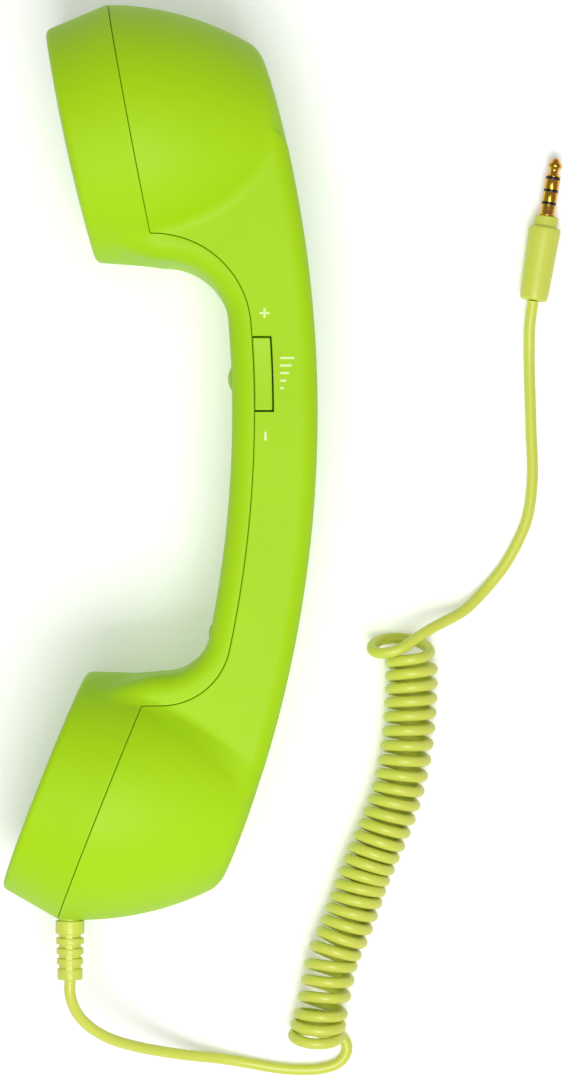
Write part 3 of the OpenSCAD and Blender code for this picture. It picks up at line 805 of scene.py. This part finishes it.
def frontCup(cup, foot, section):
    # the cap of one cup: spokes from the opening over face, rim and wall to the cap's edge and back inside
    loop, onSeam, spines = capLoop(cup, foot, section)
    center, into, across = at(cup["face"]), at(cup["into"]), at(cup["along"])
    turn = np.arctan2(loop[:, 0, 2], (loop[:, 0] - center) @ across)
    spoke = np.cos(turn)[:, None] * across + np.sin(turn)[:, None] * upDir

    def ring(r, h):
        return center + r * spoke + (h - domed(cup, r)) * into

    # the seat of the grille, then guides that are pushed out onto the skin
    seat = cup["grille"] + shell["grilleGap"]
    deep, bend = shell["grilleDeep"], shell["faceEdge"]
    opening = cup["opening"]
    steps = [(opening, deep), (opening + 0.4 * (seat - opening), deep), (seat - 0.1, deep)]
    steps += [(seat, deep - 0.1), (seat, 0.2), (seat + 0.06, 0.06), (seat + 0.2, 0)]
    edge = cup["faceRadius"] - bend
    guides = [ring(edge - 0.25, 0)]
    guides += [ring(r, h) for r, h in curvedEdge((edge, bend), bend, -90, 0, shell["rimColumns"])]
    hugging = np.linspace(0, 1, shell["wallColumns"] + 1)[1:-1]
    guides += [guides[-1] + (loop[:, 0] - guides[-1]) * t for t in hugging]
    hub = at(cup["rimCenter"])
    skins = [castOut(hub, unit(g - hub)) for g in guides]
    outer = [ring(r, h) for r, h in steps] + skins + [loop[:, 0]]

    # the inner side is a wall's thickness deeper, towards the hub at the rim and the spine at the seam
    inner = []
    for n, skin in enumerate(skins):
        t = max(0.0, (n - shell["rimColumns"]) / (len(skins) - shell["rimColumns"])) ** 2
        inner.append(skin + shell["wall"] * unit(hub + (spines - hub) * t - skin))
    flat = np.linspace(opening, cup["faceRadius"] - shell["faceInset"], 4)
    inner = [ring(r, shell["faceDeep"]) for r in flat] + inner[4::2]
    rows = np.stack(outer + [loop[:, k] for k in (1, 2, 3, 4)] + inner[::-1], 1)

    # no faces across the rolled edge where the cap runs on into the handle
    columns = rows.shape[1]
    faces = gridFaces(len(loop), columns, around=True, down=True)
    i, j = np.divmod(np.arange(len(faces)), columns)
    both = onSeam[i] & onSeam[(i + 1) % len(loop)]
    rolled = (j >= len(outer) - 1) & (j < len(outer) + 3)
    return rows.reshape(-1, 3), faces[both | ~rolled]


def makeFrontShell():
    # finger side and caps share the points along their common edges, which merge
    parts, earFoot, mouthFoot = frontBody()
    rows = np.concatenate([parts[0], parts[1], parts[2], parts[3][:, 1:-1][:, ::-1]], axis=1)
    count = rows.shape[1]
    body = (rows.reshape(-1, 3), gridFaces(len(rows), count, around=True))
    ear = frontCup(earCup, earFoot, (parts[1][0], parts[3][0]))
    mouth = frontCup(mouthCup, mouthFoot, (parts[1][-1], parts[3][-1]))
    return joined(body, ear, mouth)


frontShell = makePiece("frontShell", *makeFrontShell())
print("front shell made,", len(frontShell.data.polygons), "faces")

dress(rearShell, lookAt["limeShell"], nodes=["rear_shell"])
dress(frontShell, lookAt["limeShell"], nodes=["front_shell"])
dress(seamLip, lookAt["limeShell"])


def arcX(radius, y):
    # x on an arc of the handle at a given y
    return handle["center"][0] + np.sqrt(radius**2 - (y - handle["center"][1]) ** 2)


rocker = {
    "middle": 19.5,
    "length": 16.3,
    "width": 3.9,
    "low": 15.6,
    "top": 18.4,
    "dish": 80.0,
    "fromSeam": 0.15,
    "gap": 0.36,
    "gapBack": 0.3,
    "flare": 0.12,  # how far the window's mouth opens out
    "edge": 0.3,
    "pivot": (23.4, 19.5, 14.2),
    "pin": 0.82,
    "boss": 1.8,
    "footApart": 6.0,
}


def windowCutter():
    # a well with its mouth slightly flared, its near side on the seam
    ends = rocker["length"] / 2 + rocker["gap"]
    back = handle["seamRadius"] + rocker["fromSeam"] + rocker["width"] + rocker["gapBack"]
    top, flare = handle["halfWidth"], rocker["flare"]
    rows = []
    for z, grow in ((8, 0), (top - 0.22, 0), (top, flare), (top + 0.3, flare + 0.28)):
        y = rocker["middle"] + np.linspace(-1, 1, 13) * (ends + grow)
        near, far = arcX(handle["seamRadius"] - 3, y), arcX(back + grow, y)
        rows.append(at(np.concatenate([np.stack([near, y], 1), np.stack([far, y], 1)[::-1]]), z))
    count = len(rows[0])
    faces = gridFaces(len(rows), count, around=True).tolist()
    return np.concatenate(rows), faces + [list(range(count)), list(range(3 * count, 4 * count))]


def boreCutter(radius, x, y, flare=0.25):
    # a bore along X whose mouth on the finger side opens out a little
    profile = [(0, -6), (radius + 2 * flare + 0.6, -6), (radius + flare, -0.05), (radius, flare),
        (radius, 14), (0, 14)]
    return lathe(profile, (x, y, 0), (1, 0, 0), 48)


button = {"y": 19.1, "radius": 2.5, "gap": 0.12, "proud": 0.95, "dome": 4.8, "edge": 0.2, "flange": 3.4,
    "flangeThick": 0.7, "stem": 1.2, "long": 4.25}
button["x"] = arcX(handle["gripRadius"], button["y"])
cover = {"x": 11.0, "y": -39.5, "radius": 2.15, "gap": 0.08, "dome": 4.4, "domeRadius": 1.9, "edge": 0.25,
    "deep": 3.05}
buttonBore = boreCutter(button["radius"] + button["gap"], button["x"], button["y"])
coverBore = boreCutter(cover["radius"] + cover["gap"], cover["x"] + 0.2, cover["y"], 0.02)
cutWith(rearShell, makePiece("cutter", *windowCutter()))
cutWith(frontShell, makePiece("cutter", *buttonBore))
cutWith(frontShell, makePiece("cutter", *coverBore))
print("openings cut")


grille = {"hole": 0.9, "edge": 0.18, "earRings": 3, "earPitch": 4.0, "mouthRings": 1, "mouthPitch": 2.9}


def grilleDisc(cup, name, rings, pitch):
    # a domed disc with rings of round holes whose mouths open out a little, set into its face
    r, deep, hole, edge = cup["grille"], shell["grilleDeep"], grille["hole"], grille["edge"]
    out, seat = -at(cup["into"]), at(np.array(cup["face"]) + cup["into"] * deep)
    line = [(0, 0), (r - edge, 0), (r, edge)]
    line += curvedEdge((r - edge, deep + domed(cup, r) - edge), edge, 0, 70, 5)
    line += [(x, deep + domed(cup, x)) for x in np.linspace(r - edge, 0, 26)[1:]]
    disc = makePiece(name, *lathe(line, seat, out, 160), sharp=30)
    places = [(0.0, 0.0)]
    for i in range(1, rings + 1):
        a = np.linspace(0, 2 * np.pi, 6 * i, endpoint=False)
        places += list(zip(i * pitch * np.cos(a), i * pitch * np.sin(a)))
    cutters = []
    for x, y in places:
        top = deep + float(domed(cup, math.hypot(x, y)))
        line = [(0, -1), (hole, -1), (hole, top - 0.16), (hole + 0.06, top - 0.05), (hole + 0.2, top + 0.04),
            (hole + 0.5, top + 0.3), (0, top + 0.3)]
        cutters.append(lathe(line, seat + x * at(cup["along"]) + y * upDir, out, 28))
    cutWith(disc, makePiece("cutter", *joined(*cutters)))
    even = disc.modifiers.new("even", "WEIGHTED_NORMAL")
    even.keep_sharp = True
    return disc


earpieceGrille = grilleDisc(earCup, "earpieceGrille", grille["earRings"], grille["earPitch"])
mouthpieceGrille = grilleDisc(mouthCup, "mouthpieceGrille", grille["mouthRings"], grille["mouthPitch"])
dress(earpieceGrille, lookAt["limeShell"], nodes=["earpiece_grille"])
dress(mouthpieceGrille, lookAt["limeShell"], nodes=["mouthpiece_grille"])
print("grilles made")


def roundedBox(half, r, flats=(1, 1, 1), steps=3):
    # six grids; each point is a point of the inner box pushed out by r, so edges and corners are round
    lists = []
    for count in flats:
        bend = np.tan(np.linspace(-np.pi / 4, 0, steps + 1))
        flat = np.linspace(-1, 1, count + 1)
        where = np.concatenate([np.full(steps, -1.0), flat, np.full(steps, 1.0)])
        push = np.concatenate([bend[:-1], np.zeros(count + 1), -bend[:-1][::-1]])
        lists.append((where, push))
    inner = np.array(half, float) - r
    parts = []
    for k in range(3):
        i, j = (k + 1) % 3, (k + 2) % 3
        (fi, di), (fj, dj) = lists[i], lists[j]
        for sign in (-1, 1):
            direction = np.zeros((len(fi), len(fj), 3))
            direction[..., i], direction[..., j], direction[..., k] = di[:, None], dj[None, :], sign
            place = np.zeros_like(direction)
            place[..., i], place[..., j], place[..., k] = fi[:, None], fj[None, :], sign
            points = place * inner + r * unit(direction)
            parts.append((points.reshape(-1, 3), gridFaces(len(fi), len(fj))))
    return joined(*parts)


def shifted(part, offset):
    # the same points and faces, moved
    return part[0] + np.array(offset, float), part[1]


def rockerParts():
    # the pad is bent along the handle's arc and dished along its length; below it a boss and two feet
    tall = rocker["top"] - rocker["low"]
    half = (rocker["width"] / 2, rocker["length"] / 2, tall / 2)
    pad, padFaces = roundedBox(half, rocker["edge"], (4, 24, 1))
    y = rocker["middle"] + pad[:, 1]
    across = handle["seamRadius"] + rocker["fromSeam"] + rocker["width"] / 2 + pad[:, 0]
    sag = np.sqrt(rocker["dish"] ** 2 - pad[:, 1] ** 2)
    edge = np.sqrt(rocker["dish"] ** 2 - (rocker["length"] / 2) ** 2)
    z = rocker["low"] + tall / 2 + pad[:, 2] - (sag - edge) * (pad[:, 2] > 0)
    pad = np.stack([arcX(across, y), y, z], 1)
    px, py, pz = rocker["pivot"]
    hole, out = rocker["pin"], rocker["boss"]
    ring = [(hole, -1.5), (out - 0.2, -1.5), (out, -1.3), (out, 1.3), (out - 0.2, 1.5), (hole, 1.5)]
    ring.append(ring[0])
    parts = [(pad, padFaces), lathe(ring, (px, py, pz), (1, 0, 0), 40)]
    parts.append(shifted(roundedBox((1.5, 1.5, 0.4), 0.1), (px, py, pz + 1.55)))
    for side in (-1, 1):
        parts.append(shifted(roundedBox((1, 1, 3.5), 0.15), (px, py + side * rocker["footApart"], 12.3)))
    return joined(*parts)


volumeRocker = makePiece("volumeRocker", *rockerParts())
dress(volumeRocker, lookAt["limeButton"], body="rocker", nodes=["volume_rocker"])

def buttonLine():
    # profile of a shallow dome with a rounded edge, a flange behind the wall and a stem to its switch
    flat, back = button["radius"] - button["edge"], shell["wall"] + 0.9
    flange, stem, end = button["flange"], button["stem"], button["long"]
    line = [(r, -button["proud"] + button["dome"] - math.sqrt(button["dome"] ** 2 - r * r)) for r in
        np.linspace(0, flat, 14)]
    line += curvedEdge((flat, line[-1][1] + button["edge"]), button["edge"], -70, 0, 5)
    line += [(button["radius"], back), (flange - 0.1, back), (flange, back + 0.1)]
    back += button["flangeThick"]
    line += [(flange, back - 0.1), (flange - 0.1, back), (stem, back)]
    return line + [(stem, end - 0.15), (stem - 0.15, end), (0, end)]


def coverLine():
    # profile of a domed cap: radius times sine outward, radius less radius times cosine inward
    turns = np.linspace(0, math.asin(cover["domeRadius"] / cover["dome"]), 10)
    line = [(cover["dome"] * math.sin(a), cover["dome"] - cover["dome"] * math.cos(a)) for a in turns]
    line += curvedEdge((cover["domeRadius"], line[-1][1] + cover["edge"]), cover["edge"], -60, 0, 5)
    end = cover["deep"]
    return line + [(cover["radius"], end - 0.15), (cover["radius"] - 0.15, end), (0, end)]


callButton = makePiece("callButton", *lathe(buttonLine(), (button["x"], button["y"], 0), (1, 0, 0), 72))
dress(callButton, lookAt["limeButton"], body="button", nodes=["call_button"])
screwPlug = makePiece("screwPlug", *lathe(coverLine(), (cover["x"], cover["y"], 0), (1, 0, 0), 64))
dress(screwPlug, lookAt["limeShell"], nodes=["screw_plug"])

# printed marks: plus, minus and a rising row of bars
mark = {"plus": (23.87, 33.23), "minus": (24.09, 5.51), "bars": (27.4, 16.31), "barStep": 1.7,
    "barLengths": (0.8, 1.4, 2.0, 2.6, 3.2), "half": 0.27, "arm": 0.425}


def markPlate(x, y, halfX, halfY):
    # a very thin plate that stands just proud of the handle's side
    return shifted(roundedBox((halfX, halfY, 0.06), 0.05, steps=2), (x, y, handle["halfWidth"] + 0.005))


def markPlates():
    # the plus is three plates side by side, so that none overlap
    x, y = mark["plus"]
    plates = [markPlate(x, y, mark["half"], 1.15)]
    for side in (-1, 1):
        plates.append(markPlate(x + side * (mark["half"] + mark["arm"] + 0.03), y, mark["arm"], mark["half"]))
    plates.append(markPlate(*mark["minus"], 0.3, 1.0))
    x, y = mark["bars"]
    for i, span in enumerate(mark["barLengths"]):
        plates.append(markPlate(x + span / 2, y + mark["barStep"] * i, span / 2, mark["half"]))
    return joined(*plates)


volumeMarks = makePiece("volumeMarks", *markPlates())
dress(volumeMarks, lookAt["markInk"])
print("rocker, button, cover and marks made")

relief = {"x": -20.9, "y": -105.0, "start": 0.3, "slots": (3.4, 5.75, 8.1, 10.45), "slotHigh": 0.85,
    "end": 13.9, "wide": 3.4, "narrow": 2.85, "core": 2.5, "round": 0.3, "neck": 2.7, "flange": 4.3}


def reliefParts():
    # a tapering ribbed sleeve, with a spine above and below that bridges its slots
    start, slots, slotHigh, end = relief["start"], relief["slots"], relief["slotHigh"], relief["end"]
    edges = [start] + [h for s in slots for h in (s, s + slotHigh)] + [end]
    flange, neck, e = relief["flange"], relief["neck"], relief["round"]
    line = [(0, -4), (flange - 0.2, -4), (flange, -3.8), (flange, -2.6), (flange - 0.2, -2.4), (neck, -2.4)]
    line.append((neck, start))
    for low, high in zip(edges[::2], edges[1::2]):
        r = relief["wide"] + (relief["narrow"] - relief["wide"]) * (low + high) / 2 / end
        line += curvedEdge((r - e, low + e), e, -90, 0, 5) + curvedEdge((r - e, high - e), e, 0, 90, 5)
        if high < end:
            line += [(relief["core"], high + 0.02), (relief["core"], high + slotHigh - 0.02)]
    line += [(1.5, end), (1.32, end - 0.15), (1.2, end - 2), (0, end - 2)]
    parts = [lathe(line, (relief["x"], relief["y"], 0), (0, -1, 0), 72)]
    tall = relief["narrow"] - 0.45
    for side in (-1, 1):
        for s in slots:
            spine = roundedBox((0.8, slotHigh / 2 + 0.3, 0.55), 0.15)
            parts.append(shifted(spine, (relief["x"], relief["y"] - s - slotHigh / 2, side * tall)))
    return joined(*parts)


strainRelief = makePiece("strainRelief", *reliefParts(), sharp=50)
dress(strainRelief, lookAt["limeCord"], nodes=["strain_relief"])

plug = {"at": (87.2, 38.7, 3.9), "lean": 9.2, "housing": 17.6, "collar": 2.5, "sleeve": 2.8, "gap": 0.6,
    "ring": 2.4, "radius": 1.75, "length": 14.0}
plugLean = math.radians(plug["lean"])
plugAxis = (math.sin(plugLean), math.cos(plugLean), 0)


def plugPiece(name, line, look, node, start=0.0, sharp=38):
    # a profile turned about the plug's axis
    base = np.array(plug["at"]) + start * np.array(plugAxis)
    piece = makePiece(name, *lathe(line, base, plugAxis, 72), lift=0, sharp=sharp)
    return dress(piece, lookAt[look], nodes=[node])


def ringLine(length, r, e=0.08):
    # profile of a disc with both edges broken
    return [(0, 0), (r - e, 0), (r - 0.3 * e, 0.3 * e), (r, e), (r, length - e),
        (r - 0.3 * e, length - 0.3 * e), (r - e, length), (0, length)]


def housingLine():
    # profile of the moulded housing: a rounded foot, a slow taper, a rounded shoulder and a collar
    h, end = plug["housing"], plug["housing"] + plug["collar"]
    line = [(0, 0.3), (1.2, 0.3), (1.34, 0.12), (1.6, 0)] + curvedEdge((2.5, 0.75), 0.75, -90, -20, 6)
    line += [(3.28, 1.15), (3.36, 1.9), (3.42, 3)] + [(3.5 + 0.08 * i, 6 + 3 * i) for i in range(4)]
    line += curvedEdge((3.0, h - 0.8), 0.8, 0, 90, 8) + [(2.86, h + 0.05), (2.8, h + 0.2)]
    return line + curvedEdge((2.45, end - 0.4), 0.4, 0, 60, 5) + [(2.3, end - 0.02), (2.2, end), (0, end)]


def tipLine(long):
    # profile of the tip: shoulder, waist, head and rounded nose
    return [(0, 0), (1.62, 0), (1.68, 0.08), (1.66, 0.22), (1.5, 0.42), (1.3, 0.75), (1.12, 1.1),
        (1.05, 1.35), (1.1, 1.6), (1.3, 1.95), (1.55, 2.3), (1.68, 2.55), (1.7, 2.75), (1.62, 2.98),
        (1.4, 3.35), (1.1, 3.8), (0.85, 4.15), (0.68, 4.42), (0.5, long - 0.14),
        (0.3, long - 0.04), (0, long)]


shank = plug["housing"] + plug["collar"]
r, step = plug["radius"], plug["gap"] + plug["ring"]
firstRing = shank + plug["sleeve"] + plug["gap"]
sleeveLine = [(0, 0), (2.0, 0), (2.1, 0.1), (2.1, 0.35), (2.0, 0.45), (1.8, 0.48), (r, 0.6),
    (r, plug["sleeve"] - 0.08), (r - 0.08, plug["sleeve"]), (0, plug["sleeve"])]
tipLong = plug["length"] - plug["sleeve"] - 2 * step - plug["gap"]
ring = ringLine(plug["ring"], r)
endPieces = [
    strainRelief,
    plugPiece("plugHousing", housingLine(), "limeCord", "plug_housing", sharp=50),
    plugPiece("plugSleeve", sleeveLine, "gold", "plug_sleeve", shank),
    plugPiece("plugSecondRing", ring, "gold", "plug_second_ring", firstRing),
    plugPiece("plugFirstRing", ring, "gold", "plug_first_ring", firstRing + step),
    plugPiece("plugTip", tipLine(tipLong), "gold", "plug_tip", firstRing + 2 * step, 60),
]
bands = []
for i in range(3):
    place = np.array(plug["at"]) + (shank + plug["sleeve"] + i * step) * np.array(plugAxis)
    bands.append(lathe(ringLine(plug["gap"], r - 0.03, 0.05), place, plugAxis, 72))
plugInsulators = makePiece("plugInsulators", *joined(*bands), lift=0)
dress(plugInsulators, lookAt["blackPlastic"], nodes=["plug_insulators"])
endPieces.append(plugInsulators)
print("strain relief and plug made")

# pieces that stay as the CAD made them, with their materials
kept = {
    "speaker_gasket": "blackRubber",
    "speaker_frame": "steel",
    "speaker_magnet": "steel",
    "speaker_diaphragm": "paperCone",
    "voice_coil": "copper",
    "microphone_boot": "blackRubber",
    "microphone_capsule": "steel",
    "circuit_board": "greenBoard",
    "board_screws": "steel",
    "volume_switches": "blackPlastic",
    "call_switch": "blackPlastic",
    "rocker_pin": "darkSteel",
    "ballast_weight": "steel",
    "shell_screw": "steel",
    "speaker_wires": "redWire",
    "microphone_wires": "yellowWire",
    "cord_cores": "whiteWire",
}
for node, look in kept.items():
    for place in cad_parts[node].material_slots:
        place.material = lookAt[look]

studio = {"floor": 3.0, "floorTone": 0.9, "floorGlow": 0.21, "world": 0.26}
floorMesh = bpy.data.meshes.new("floor")
corners = [(x * studio["floor"], y * studio["floor"], 0) for x, y in ((-1, -1), (1, -1), (1, 1), (-1, 1))]
floorMesh.from_pydata(corners, [], [(0, 1, 2, 3)])
floor = bpy.data.objects.new("floor", floorMesh)
floorPaint = moulded("floorPaint", [studio["floorTone"]] * 3, 0.75, grain=3, depth=0.0, shift=0.01)
floorSkin = floorPaint.node_tree.nodes["Principled BSDF"]
floorSkin.inputs["Emission Color"].default_value = (1, 1, 1, 1)
floorSkin.inputs["Emission Strength"].default_value = studio["floorGlow"]
floor.data.materials.append(floorPaint)
bpy.context.scene.collection.objects.link(floor)

world = bpy.data.worlds.new("studio")
bpy.context.scene.world = world
world.use_nodes = True
sky = world.node_tree.nodes["Background"]
sky.inputs["Color"].default_value = (1, 1, 1, 1)
sky.inputs["Strength"].default_value = studio["world"]


def softBox(name, location, aim, size, power):
    # a rectangular lamp turned towards a point
    light = bpy.data.lights.new(name, "AREA")
    light.shape = "RECTANGLE"
    light.size, light.size_y = size
    light.energy = power
    lamp = bpy.data.objects.new(name, light)
    lamp.location = location
    direction = np.array(aim) - np.array(location)
    lamp.rotation_mode = "QUATERNION"
    lamp.rotation_quaternion = Vector(direction).to_track_quat("-Z", "Y")
    bpy.context.scene.collection.objects.link(lamp)


softBox("keyBox", (0.1, -0.6, 1.3), (0.02, 0, 0), (0.6, 0.5), 10.4)
softBox("topBox", (0.0, -0.15, 1.4), (0, 0, 0), (0.7, 0.7), 6.0)
bpy.context.scene.view_settings.view_transform = "Standard"
print("floor and lights made")
